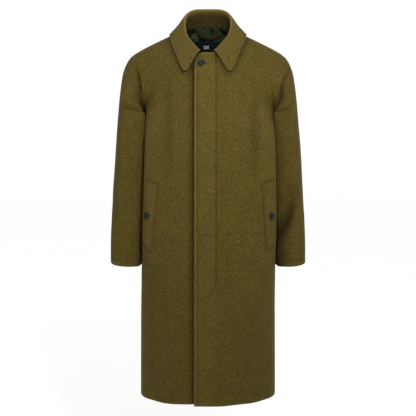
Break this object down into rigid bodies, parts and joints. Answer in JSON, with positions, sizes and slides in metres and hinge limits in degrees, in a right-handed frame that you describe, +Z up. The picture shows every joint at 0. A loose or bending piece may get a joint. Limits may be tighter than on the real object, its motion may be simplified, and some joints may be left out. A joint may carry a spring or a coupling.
{
  "type": "single-breasted coat",
  "caption": "Long wool overcoat with raglan sleeves, a turned-down collar, a hidden fly front and slanted welt pockets, hollow as worn and open at neck, cuffs and hem.",
  "frame": {"origin": "middle of the neck opening, level with the collar seam at the nape, where the wearer carries it", "axes": "+Z up, front towards -Y, wearer's left at +X"},
  "size_m": [0.6014, 0.3104, 1.1976],
  "materials": {
    "coating": "matt olive melange wool with a short nap",
    "lining": "dark green satin",
    "label": "woven, nearly black",
    "horn": "polished dark horn look",
    "strap": "smooth dark brown"
  },
  "bodies": {
    "root": {"front_left": "coating", "front_right": "coating", "back": "coating", "sleeve_left_front": "coating", "sleeve_left_back": "coating", "sleeve_right_front": "coating", "sleeve_right_back": "coating", "collar": "coating", "welt_left": "coating", "welt_right": "coating", "button_collar": "horn", "button_welt_left": "horn", "button_welt_right": "horn", "lining_back": "lining", "lining_sleeve_left": "lining", "lining_sleeve_right": "lining", "label": "label", "hanger_loop": "strap"}
  },
  "joints": []
}
